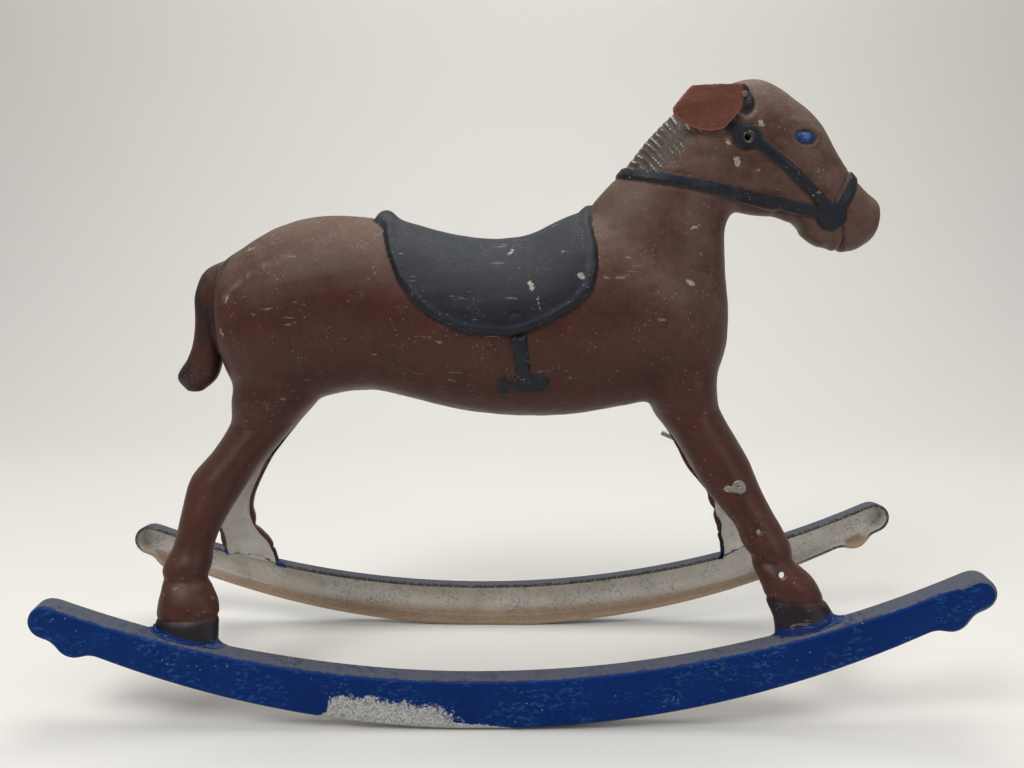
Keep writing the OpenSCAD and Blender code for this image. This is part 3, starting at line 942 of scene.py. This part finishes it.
def outline_loop(node, y):
    """The outline of a flat face of a frame node at y, as evenly spaced x and z in metres."""
    mesh = NODES[node].data
    p = coords(mesh)
    keys, index = {}, []
    for v in p:
        index.append(keys.setdefault(tuple(np.round(v, 6)), len(keys)))
    corner = np.array(list(keys))
    used = {}
    for face in mesh.polygons:
        ring = [index[i] for i in face.vertices]
        if all(abs(corner[i][1] - y) < 1e-5 for i in ring):
            for a, b in zip(ring, ring[1:] + ring[:1]):
                if (b, a) in used:
                    del used[(b, a)]
                else:
                    used[(a, b)] = True
    follow = {a: b for a, b in used}
    start = min(follow, key=lambda i: corner[i][0])
    ring, at = [start], follow[start]
    while at != start:
        ring.append(at)
        at = follow[at]
    loop = corner[ring][:, [0, 2]]
    loop = np.vstack([loop, loop[:1]])
    reach = np.concatenate([[0], np.cumsum(np.linalg.norm(np.diff(loop, axis=0), axis=1))])
    count = int(reach[-1] / OUTLINE_STEP)
    at = np.linspace(0, reach[-1], count, endpoint=False)
    even = np.stack([np.interp(at, reach, loop[:, k]) for k in (0, 1)], 1)
    for _ in range(2):
        even = 0.5 * even + 0.25 * (np.roll(even, 1, 0) + np.roll(even, -1, 0))
    return even


def outward(loop):
    """Unit normals of a closed loop in the side view, pointing out of it."""
    d = np.roll(loop, -1, 0) - np.roll(loop, 1, 0)
    n = np.stack([d[:, 1], -d[:, 0]], 1)
    n /= np.linalg.norm(n, axis=1)[:, None]
    area = np.sum(loop[:, 0] * np.roll(loop[:, 1], -1) - np.roll(loop[:, 0], -1) * loop[:, 1])
    return n if area > 0 else -n


def prism(name, loop, y0, y1):
    vertices = [(x, y, z) for y in (y0, y1) for x, z in loop]
    obj = new_object(name, vertices, closed_grid(2, len(loop)))
    tidy_normals(obj)
    return obj


def chip_distance(xz):
    """Distance to the places where the paint has come off in flakes."""
    best = np.full(len(xz), 50.0)
    for x, z, rx, rz, turn in CHIPS:
        best = np.minimum(best, ellipse_distance(xz, (x, z), rx, rz, turn))
    return best


CHIPS = [
    (28, 420, 2.2, 6.5, 0.1), (75, 427, 5.0, 3.2, -0.5), (10, 450, 3.2, 1.8, 0.7), (62, 450, 4.5, 1.2, 0.2),
    (34, 405, 1.2, 4.5, 0.2), (183, 416, 5.5, 2.4, -0.6), (232, 529, 3.6, 6.0, 0.4), (250, 522, 2.4, 2.0, 0),
    (305, 496, 1.4, 1.4, 0), (223, 548, 1.8, 5.0, 0.3), (253, 566, 2.2, 4.6, 0.4), (188, 469, 5.0, 1.2, 0.3),
    (-268, 415, 1.6, 5.5, -0.5), (-276, 382, 1.6, 4.5, 0.3), (-262, 205, 1.2, 5.0, 0),
    (-245, 462, 7, 1.2, 0.4)]


def rocker_top(x):
    """Level height of the rockers' top edge at x."""
    return TOP_EDGE_Z + TOP_EDGE_R - np.sqrt(TOP_EDGE_R ** 2 - np.minimum(x * x, 1100 ** 2))


def coat(obj):
    """Stores what the body paint needs on a half casting that is already in place."""
    mesh = obj.data
    p = coords(mesh) / MM
    c, s = math.cos(LEAN), math.sin(LEAN)
    dx, dz = p[:, 0] + SHIFT, p[:, 2] - ROCK_R + WEAR
    xz = np.stack([dx * c + dz * s, -dx * s + dz * c + ROCK_R], 1)
    f = features(xz)
    for name in ("saddle", "strap", "eye", "socket"):
        write_value(mesh, name, np.clip(f[name], -20, 20))
    for name in ("mane", "mane_line", "tail"):
        write_value(mesh, name, f[name])
    border = np.where(xz[:, 0] < 0, 112 - 0.05 * (xz[:, 0] + 315), 112 - 0.16 * (xz[:, 0] - 275))
    write_value(mesh, "hoof", np.clip(xz[:, 1] - border, -30, 30))
    write_value(mesh, "chip", np.clip(chip_distance(xz), -10, 20))
    foot = xz[:, 1] - rocker_top(xz[:, 0]) - np.where(xz[:, 0] > 0, 7.0, 3.0)
    write_value(mesh, "foot", np.clip(foot, -30, 30))
    # Pale streaks: dust and a painted highlight along the ridge of the haunch, and a short one at the throat.
    smear = segment_distance(xz, [(-280, 410), (-240, 440), (-200, 455)]) - 3
    smear = np.minimum(smear, segment_distance(xz, [(230, 470), (262, 468)]) - 1)
    write_value(mesh, "smear", smooth((3 - smear) / 8))
    # Paler towards the front and the top of the body.
    write_value(mesh, "haze", smooth((xz[:, 0] - 60) / 150) * smooth((xz[:, 1] - 330) / 80))
    # Rises towards the top of the body, for dust and for the painted light on the tops.
    write_value(mesh, "dusty", 0.12 + 0.88 * smooth((xz[:, 1] - 300) / 110))
    edge_wear(obj, 2.2)


class HORSE_OT_castings(bpy.types.Operator):
    """Models the right half casting from body sections and relief, and mirrors it for the left"""
    bl_idname = "horse.castings"
    bl_label = "Half castings"

    def execute(self, context):
        size = context.scene.horse_size
        half = closed_body(size, 0)
        two_faced(half, "body", "inside")
        combine(half, box_tool((-500, 0, -50), (500, 300, 800)))
        inner = inner_body()
        two_faced(inner, "body", "inside", lining=True)
        combine(half, inner)
        p = coords(half.data) / MM
        p[:, 1] -= splay_at(p[:, 2]) * leg_share(p[:, 0])
        set_coords(half.data, to_stand(p))
        rim = outline_loop("right_rocker", -BASE_W / 2 * MM)
        combine(half, prism("tool", rim - outward(rim) * (2.5 * MM), -0.2, 0.02))
        for x, z in ROD_HOLES:
            combine(half, pin_tool(x, z, 10, -160, 3.1))
        combine(half, pin_tool(*HANDLE, 10, -60, 4.8))
        combine(half, pin_tool(*TACK, -60, -22, 1.6, 20))
        left = mirrored_copy(half, "left_casting")
        half.name = "right_casting"
        for x, z, y in SCREWS:
            combine(left, pin_tool(x, z, y - 1, 120, 5.6, 28))
        for obj, node in ((half, "right_shell"), (left, "left_shell")):
            coat(obj)
            hand_in(obj, node, angle=40)
        return {"FINISHED"}


# The rockers

CHANNEL = [
    (9.0, -125.0), (6.2, -125.0), (4.6, -124.7), (3.2, -124.0), (2.1, -122.8), (1.5, -121.2), (1.2, -119.0),
    (0.8, -114.0), (0.2, -107.0), (0.1, -105.8), (0.5, -105.15), (1.4, -105.0), (3.0, -105.0), (3.8, -105.2),
    (4.1, -106.0), (4.4, -112.0), (5.0, -118.0), (5.8, -120.0), (7.2, -120.9), (9.0, -121.0)]
INNER_FROM = 13


class HORSE_OT_rockers(bpy.types.Operator):
    """Models the right channel rocker round its outline, and mirrors it for the left"""
    bl_idname = "horse.rockers"
    bl_label = "Rockers"

    def execute(self, context):
        loop = outline_loop("right_rocker", -BASE_W / 2 * MM)
        out = outward(loop)
        k, rows = len(loop), len(CHANNEL)
        s = np.arange(k)
        wave = 0.25 * MM * (np.sin(s * 0.11) + np.sin(s * 0.047 + 1))
        vertices = []
        for j, (inset, y) in enumerate(CHANNEL):
            ring = loop - out * (inset * MM)
            wobble = wave if 7 <= j <= 14 else wave * 0
            vertices += [(x, y * MM + w, z) for (x, z), w in zip(ring, wobble)]
        inner = [j >= INNER_FROM for j in range(rows - 1) for _ in range(k)] + [False, True]
        obj = new_object("right_channel_rocker", vertices, closed_grid(rows, k))
        two_faced(obj, "rocker", "channel")
        obj.data.polygons.foreach_set("material_index", np.array(inner, dtype=np.int32))
        tidy_normals(obj)
        for x0, x1, z in ((-338, -287, 70), (255, 307, 62)):
            window = box_tool((x0, -114, z), (x1, -94, z + 50))
            two_faced(window, "rocker", "channel", lining=True)
            window.data.transform(stand_matrix() @ Matrix.Scale(1 / MM, 4))
            combine(obj, window)
        self.fill_webs(obj)
        left = mirrored_copy(obj, "left_channel_rocker")
        for o, node in ((obj, "right_rocker"), (left, "left_rocker")):
            dress_rocker(o)
            hand_in(o, node, angle=32)
        return {"FINISHED"}

    def fill_webs(self, obj):
        """Turns the two large flat faces into small ones, so that wear can be stored across them."""
        bm = bmesh.new()
        bm.from_mesh(obj.data)
        big = [f for f in bm.faces if len(f.verts) > 8]
        bmesh.ops.triangulate(bm, faces=big)
        bm.to_mesh(obj.data)
        bm.free()


def dress_rocker(obj):
    mesh = obj.data
    p, n = coords(mesh) / MM, normals(mesh)
    y = np.abs(p[:, 1])
    mid = np.interp(p[:, 0], *centre_line())
    upper = smooth((p[:, 2] - mid) / 6)
    front = smooth((p[:, 0] - 395) / 30)
    top = upper * smooth((124.3 - y) / 2.5) * smooth(n[:, 2] / 0.4)
    write_value(mesh, "top", np.clip(top * 0.75 + front * 0.8 * (y < 124.9), 0, 1))
    height = 12.5 * smooth((p[:, 0] + 190) / 25) * np.clip((2 - p[:, 0]) / 140, 0, 1) ** 0.4
    low = smooth((height - p[:, 2] + floor_height(p[:, 0])) / 7 + 0.5) * (height > 1)
    write_value(mesh, "low", low)
    write_value(mesh, "rim", smooth((107.2 - y) / 1.2))
    write_value(mesh, "floor_side", smooth((mid - 8 - p[:, 2]) / 14))
    edge_wear(obj, 1.5, 1)


def floor_height(x):
    """Height of the rockers' underside at x, in the frame."""
    return ROCK_R - np.sqrt(ROCK_R ** 2 - (x + SHIFT) ** 2)


def centre_line():
    """Heights midway between a rocker's underside and top edge along x, in the frame."""
    low, high = (np.array(c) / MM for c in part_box("right_rocker"))
    x = np.linspace(low[0], high[0], 60)
    return x, 25 + (x + 26) ** 2 / 2 * 0.5 * (1 / ROCK_R + 1 / TOP_EDGE_R) * 1.02


# Small pieces

class HORSE_OT_hoof_welds(bpy.types.Operator):
    """Models the coved beads between hooves and rockers"""
    bl_idname = "horse.hoof_welds"
    bl_label = "Hoof welds"

    def execute(self, context):
        for side, node in ((-1, "right_hoof_welds"), (1, "left_hoof_welds")):
            pieces = [self.bead(spline(leg, 10), side) for leg in (HIND_LEG, FORE_LEG)]
            obj = merged(node.replace("hoof_welds", "beads"), pieces, [material("rocker")])
            tidy_normals(obj)
            for name, value in (("top", 0.5), ("low", 0), ("edge", 0.5), ("rim", 0), ("floor_side", 0)):
                write_value(obj.data, name, np.full(len(obj.data.vertices), value))
            hand_in(obj, node, angle=60)
        return {"FINISHED"}

    def bead(self, stations, side):
        """A cove round the outer side of one hoof, from its rear edge to its front edge."""
        rows = stations[::-1]

        def hoof(z):
            x0, x1 = np.interp(z, rows[:, 1], rows[:, 0]), np.interp(z, rows[:, 3], rows[:, 2])
            return (x0 + x1) / 2, (x1 - x0) / 2, np.interp(z, rows[:, 1], rows[:, 4])

        around, steps = 56, 9
        rings = []
        foot = rocker_top(rows[0, 0])
        for i in range(around + 1):
            a = math.pi * i / around
            middle, half, depth = hoof(foot + 8)
            nx, ny = -math.cos(a) / half, math.sin(a) / depth
            nx, ny = nx / math.hypot(nx, ny), ny / math.hypot(nx, ny)
            size = 2.0 + 7.5 * smooth((nx - 0.2) / 0.8) + 2.0 * smooth((-0.5 - nx) / 0.5)
            ground = rocker_top(middle - half * math.cos(a))
            ring = []
            for j in range(steps + 1):
                t = math.pi / 2 * j / (steps - 1)
                out, up = (size * (1 - math.sin(t)), size * (1 - math.cos(t))) if j < steps else (-2.2, size)
                middle, half, depth = hoof(ground + up)
                x = middle - half * math.cos(a) + nx * (out - 1.1)
                ring.append((x, depth * math.sin(a) + ny * (out - 1.1), rocker_top(x) + up - 0.3))
            x, y, z = ring[-1]
            ring.append((x, y, ground - 3.5))
            x, y, z = ring[0]
            ring.append((x, y, z - 3.5))
            rings.append(ring)
        vertices = [(px, side * min(SPLAY + py, BASE_W / 2 - 5.5), pz)
                    for ring in rings for px, py, pz in ring]
        return to_stand(vertices), closed_grid(len(rings), len(rings[0]))


def swept(path, radius_at, around):
    """Tube along x, y points with a direction, its radius varying by distance and turn."""
    vertices = []
    for s, x, y, a in path:
        for i in range(around):
            t = 2 * math.pi * i / around
            r = radius_at(s, t)
            out = r * math.cos(t)
            vertices.append((x + out * math.cos(a), y + out * math.sin(a), r * math.sin(t)))
    return vertices, closed_grid(len(path), around)


def leg_depth(z):
    rows = sorted((r[1], r[4]) for r in FORE_LEG)
    return float(np.interp(z, [r[0] for r in rows], [r[1] for r in rows]))


ROD_Y = float(splay_at(ROD_HOLES[0][1])) + leg_depth(ROD_HOLES[0][1]) - 1.5
ROD_END = ROD_Y + 1.5 + 5 + 2


class HORSE_OT_foot_rod(bpy.types.Operator):
    """Models the threaded rod across the forelegs with its bent ends"""
    bl_idname = "horse.foot_rod"
    bl_label = "Foot rod"

    def execute(self, context):
        size = context.scene.horse_size
        pitch = size.thread / MM
        ends = [self.end(math.radians(45), 28), self.end(math.radians(72), 44)]
        line = [(x, -y, -a) for x, y, a in ends[0][::-1]] + ends[1]
        steps = np.array(line)
        reach = np.concatenate([[0], np.cumsum(np.linalg.norm(np.diff(steps[:, :2], axis=0), axis=1))])
        count = int(reach[-1] / (pitch / 4))
        at = np.linspace(0, reach[-1], count)
        path = [(s, *(np.interp(s, reach, steps[:, k]) for k in range(3))) for s in at]
        total = reach[-1]

        def radius(s, t):
            turn = (s / pitch + t / (2 * math.pi)) % 1
            deep = 0.30 * (1 - abs(2 * turn - 1))
            taper = 0.5 * (smooth(np.array(1 - s / 0.8)) + smooth(np.array(1 - (total - s) / 0.8)))
            return 2.98 - deep - float(taper)

        obj = merged("foot_bar", [swept(path, radius, 20)], [material("steel")])
        x, z = ROD_HOLES[0]
        place = stand_matrix() @ Matrix.Translation((x, 0, z)) @ Matrix.Rotation(math.radians(23), 4, "Y")
        obj.data.transform(place)
        tidy_normals(obj)
        edge_wear(obj, 0.5, 0)
        hand_in(obj, "foot_rod", angle=60)
        return {"FINISHED"}

    def end(self, bend, reach, elbow=10.0):
        turns = [bend * i / 12 for i in range(13)]
        points = [(elbow * (math.cos(a) - 1), ROD_END + elbow * math.sin(a), a) for a in turns]
        x, y, _ = points[-1]
        return points + [(x - reach * math.sin(bend), y + reach * math.cos(bend), bend)]


def hexagon(around, flats):
    """Radius of a hexagon at each of a number of turns."""
    return [flats / math.cos((2 * math.pi * i / around + math.pi / 6) % (math.pi / 3) - math.pi / 6)
            for i in range(around)]


def nut_piece():
    around = 48
    hexed = hexagon(around, 5.0)
    rows = [[3.05] * around, [3.5] * around, [min(r, 5.05) for r in hexed], hexed, hexed,
            [min(r, 5.05) for r in hexed], [3.5] * around, [3.05] * around]
    depths = [0.35, 0.0, 0.0, 0.45, 4.5, 5.0, 5.0, 4.65]
    return turned([(row, -depth) for row, depth in zip(rows, depths)])


def finish_small(obj, node, body="horse", angle=30, rusty=0.0):
    obj.data.transform(stand_matrix())
    write_value(obj.data, "rusty", np.full(len(obj.data.vertices), rusty))
    tidy_normals(obj)
    edge_wear(obj, 1.0, 0)
    hand_in(obj, node, body, angle)


def steel_piece(name, node, pieces, rusty=0.0):
    finish_small(merged(name, pieces, [material("steel")]), node, rusty=rusty)


class HORSE_OT_fasteners(bpy.types.Operator):
    """Models the foot rod's washers and nuts, the shell screws and the ear tacks"""
    bl_idname = "horse.fasteners"
    bl_label = "Fasteners"

    def execute(self, context):
        rings = context.scene.horse_size.rings
        x, z = ROD_HOLES[0]
        washer = lathe([
            (3.15, 0), (3.3, 0.1), (6.4, 0.0), (6.75, -0.3), (6.75, -1.1), (6.4, -1.5), (3.4, -1.5),
            (3.15, -1.3)], rings)
        under = -EAR_T - 11
        tack = lathe([
            (0.01, 0), (1.55, -0.1), (1.55, under), (1.6, under - 0.2), (3.1, under - 0.3),
            (3.0, under - 0.9), (2.3, under - 1.5), (1.2, under - 1.9), (0.01, under - 2)], 24)
        for flip, side in ((False, "right"), (True, "left")):
            steel_piece(f"{side}_washer", f"{side}_rod_washer", [placed(washer, x, -ROD_Y, z, flip)])
            steel_piece(f"{side}_nut", f"{side}_rod_nut", [placed(nut_piece(), x, -ROD_Y - 1.5, z, flip)])
            steel_piece(f"{side}_tack", f"{side}_ear_tack",
                        [placed(tack, TACK[0], -EAR_Y + 11, TACK[1], flip)], rusty=1.0)
        screws = []
        for sx, sz, sy in SCREWS:
            screw = lathe([
                (0.01, -16), (2.0, -16), (2.4, -15.4), (2.4, sy), (4.3, sy), (4.5, sy + 0.4), (4.3, sy + 1.4),
                (3.4, sy + 2.2), (1.6, sy + 2.6), (1.4, sy + 1.2), (0.01, sy + 1.2)], 24)
            screws.append(placed(screw, sx, 0, sz))
        steel_piece("long_screws", "shell_screws", screws)
        return {"FINISHED"}


class HORSE_OT_handle_tube(bpy.types.Operator):
    """Models the tube through the head with its rolled collars"""
    bl_idname = "horse.handle_tube"
    bl_label = "Handle tube"

    def execute(self, context):
        half = [
            (3.3, 0), (3.3, 31.6), (3.6, 32.2), (4.6, 32.5), (5.8, 32.3), (6.5, 31.7), (6.3, 31.1),
            (4.9, 31.0), (4.75, 30.5), (4.75, 0)]
        profile = half + [(r, -y) for r, y in half[-2:0:-1]]
        steel_piece("head_tube", "handle_tube", [placed(lathe(profile, 40), HANDLE[0], 0, HANDLE[1])], 0.8)
        return {"FINISHED"}


class HORSE_OT_ears(bpy.types.Operator):
    """Models the leather ears, each cut from one piece and slightly cupped"""
    bl_idname = "horse.ears"
    bl_label = "Ears"

    def execute(self, context):
        outline = self.cornered(np.array(EAR, dtype=float))
        centre = np.array([205.0, 584.0])
        rings = 12
        k = len(outline)
        for flip, side in ((False, "right"), (True, "left")):
            vertices, faces = [], []
            for layer in (0, 1):
                for j in range(rings):
                    t = 1 - j / rings * 0.97
                    edge = 1 - float(smooth((1 - t) / 0.08))
                    thick = EAR_T * (0.5 + 0.5 * (1 - edge * 0.75)) if layer else 0
                    for i, corner in enumerate(outline):
                        px, pz = centre + (corner - centre) * t
                        ragged = 0.35 * math.sin(i * 1.9) * edge
                        cup = 2.4 * float(bell(pz - 587 - 0.12 * (px - 200), 7.5) * smooth((228 - px) / 30))
                        curl = 1.5 * float(smooth((190 - px) / 25))
                        y = -EAR_Y - 0.1 - thick - cup - curl
                        vertices.append((px + ragged, y, pz + ragged * 0.6))
                base = layer * rings * k
                faces += grid_faces(rings, k, base) + [row_face(rings - 1, k, base)]
            faces += [(i, (i + 1) % k, rings * k + (i + 1) % k, rings * k + i) for i in range(k)]
            # How far forward of x 234 each point lies; the front end is painted dark, with black paint and
            # painted shade of the socket.
            front = np.array(vertices)[:, 0] - 234
            if flip:
                c, s = math.cos(EAR_DROOP), math.sin(EAR_DROOP)
                vertices = [(TACK[0] + (x - TACK[0]) * c - (z - TACK[1]) * s, -y,
                             TACK[1] + (x - TACK[0]) * s + (z - TACK[1]) * c) for x, y, z in vertices]
            obj = new_object(f"{side}_leather", vertices, faces, [material("leather")])
            write_value(obj.data, "front", front)
            finish_small(obj, f"{side}_ear", f"{side}_ear_leather", 50)
        return {"FINISHED"}

    def cornered(self, points):
        """The ear's outline with its corners only just rounded."""
        out = []
        for before, at, after in zip(np.roll(points, 1, 0), points, np.roll(points, -1, 0)):
            for a, b in ((before, at), (at, after)):
                near = min(0.35, 2.0 / float(np.linalg.norm(b - a)))
                out += [b + (a - b) * near] if b is at else [a + (b - a) * near, a + (b - a) * 0.5]
        return spline(out + [out[0]], 3)[:-1]


CAMERA_AT = (0.0009, -0.8535, 0.4476)
CAMERA_DOWN = math.radians(8.8)
FOCAL_LENGTH = 29.11
SWEEP_FROM, SWEEP_R = 1.1, 1.2


class HORSE_OT_stage(bpy.types.Operator):
    """Lays the pale floor, hangs the soft lights and sets the camera"""
    bl_idname = "horse.stage"
    bl_label = "Stage"

    def execute(self, context):
        scene = context.scene
        profile = [(-4.0, 0.0), (SWEEP_FROM, 0.0)]
        profile += [(SWEEP_FROM + SWEEP_R * math.sin(a), SWEEP_R - SWEEP_R * math.cos(a))
                    for a in np.linspace(0.1, math.pi / 2, 14)]
        profile += [(2.3, 5.0)]
        vertices = [(x, y, z) for x in (-6, 6) for y, z in profile]
        k = len(profile)
        faces = [(i, i + 1, k + i + 1, k + i) for i in range(k - 1)]
        floor = new_object("backdrop", vertices, faces, [material("stage")])
        shade(floor, 60)
        world = bpy.data.worlds.new("soft_room")
        world.use_nodes = True
        background = world.node_tree.nodes["Background"]
        background.inputs[0].default_value = (1.0, 0.99, 0.97, 1)
        background.inputs[1].default_value = 0.26
        scene.world = world
        for name, at, aim, extent, power in (
                ("window", (-1.3, -1.6, 2.6), (0, 0, 0.3), 1.4, 54),
                ("ceiling", (0.3, 0.4, 3.0), (0, 0, 0.2), 2.2, 62),
                ("fill", (2.2, -2.0, 1.6), (0, 0, 0.3), 1.6, 16)):
            light = bpy.data.lights.new(name, "AREA")
            light.shape, light.size, light.energy = "DISK", extent, power
            obj = bpy.data.objects.new(name, light)
            obj.location = at
            obj.rotation_euler = (Vector(aim) - Vector(at)).to_track_quat("-Z", "Y").to_euler()
            scene.collection.objects.link(obj)
        camera = bpy.data.cameras.new("camera")
        camera.lens, camera.sensor_width = FOCAL_LENGTH, 36
        obj = bpy.data.objects.new("camera", camera)
        obj.location = CAMERA_AT
        obj.rotation_euler = (math.pi / 2 - CAMERA_DOWN, 0, 0)
        scene.collection.objects.link(obj)
        scene.camera = obj
        scene.view_settings.view_transform = "Standard"
        return {"FINISHED"}


class HORSE_PT_panel(bpy.types.Panel):
    """Lists the pieces and their settings."""
    bl_idname = "HORSE_PT_panel"
    bl_label = "Rocking Horse"
    bl_space_type = "VIEW_3D"
    bl_region_type = "UI"
    bl_category = "Rocking Horse"

    def draw(self, context):
        for piece in PIECES:
            self.layout.operator(piece.bl_idname)
        for settings in (context.scene.horse_size, context.scene.horse_look):
            for key in type(settings).__annotations__:
                self.layout.prop(settings, key)


PIECES = [HORSE_OT_stage, HORSE_OT_castings, HORSE_OT_rockers, HORSE_OT_hoof_welds, HORSE_OT_foot_rod,
          HORSE_OT_fasteners, HORSE_OT_handle_tube, HORSE_OT_ears]
CLASSES = [HorseLook, HorseSize, *PIECES, HORSE_PT_panel]


def register():
    for cls in CLASSES:
        bpy.utils.register_class(cls)
    bpy.types.Scene.horse_look = PointerProperty(type=HorseLook)
    bpy.types.Scene.horse_size = PointerProperty(type=HorseSize)


def unregister():
    del bpy.types.Scene.horse_look
    del bpy.types.Scene.horse_size
    for cls in reversed(CLASSES):
        bpy.utils.unregister_class(cls)


def main():
    register()
    for piece in PIECES:
        group, name = piece.bl_idname.split(".")
        getattr(getattr(bpy.ops, group), name)()


if __name__ == "__main__":
    main()
